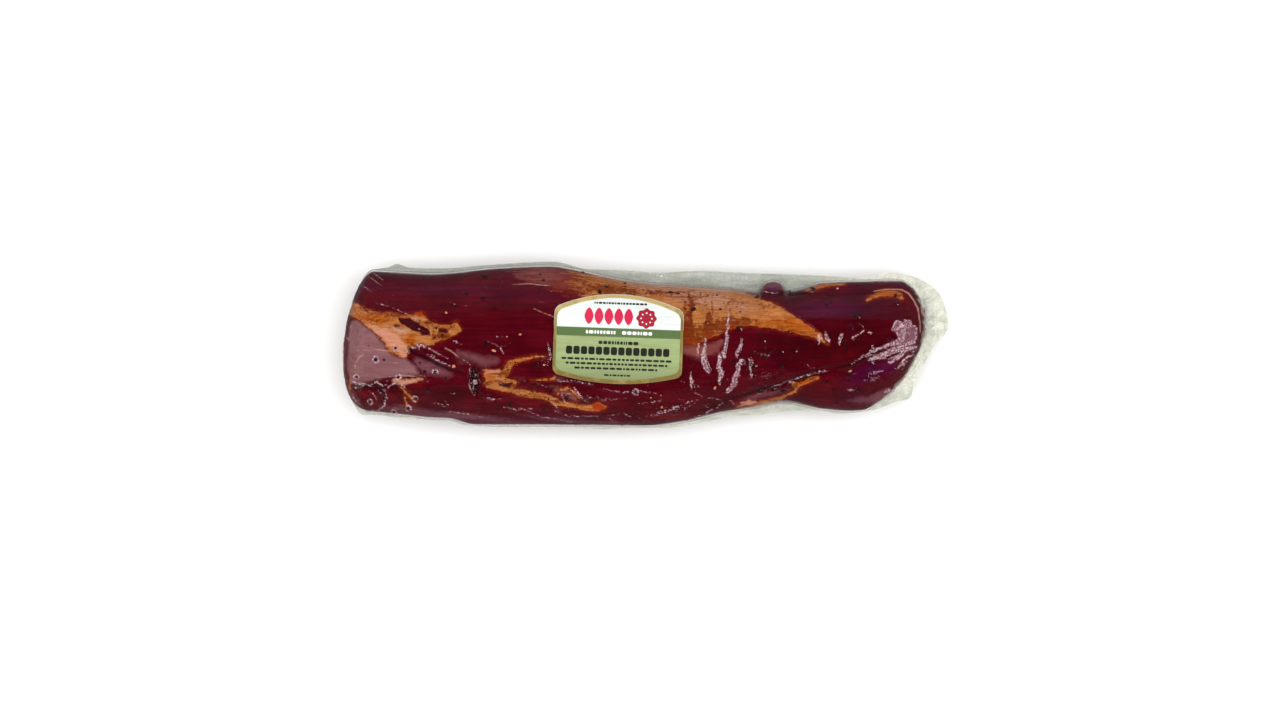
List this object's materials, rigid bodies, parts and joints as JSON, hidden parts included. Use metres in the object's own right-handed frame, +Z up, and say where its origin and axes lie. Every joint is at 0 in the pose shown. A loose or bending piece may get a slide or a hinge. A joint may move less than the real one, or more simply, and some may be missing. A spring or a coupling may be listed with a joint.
{
  "type": "vacuum-packed smoked pork tenderloin",
  "caption": "Whole smoked pork tenderloin lying on its flat side, sealed in a clear vacuum bag with a pressed rim and a paper sticker on top.",
  "frame": {"origin": "centre of the box round the pack, on the surface that it lies on", "axes": "+X along the meat from its thick cut end to its folded tail, +Y across it towards the straighter far side, +Z up"},
  "size_m": [0.2812, 0.078, 0.0425],
  "materials": {
    "smoked_meat_under_film": "dark red smoked meat with tan fat and cracked pepper, seen through glossy clear film",
    "clear_film": "thin clear vacuum film, glossy, with drawn wrinkles",
    "printed_paper": "satin printed paper with a foil edge"
  },
  "bodies": {
    "root": {"sealed_bag": "smoked_meat_under_film", "sticker": "printed_paper"}
  },
  "joints": []
}
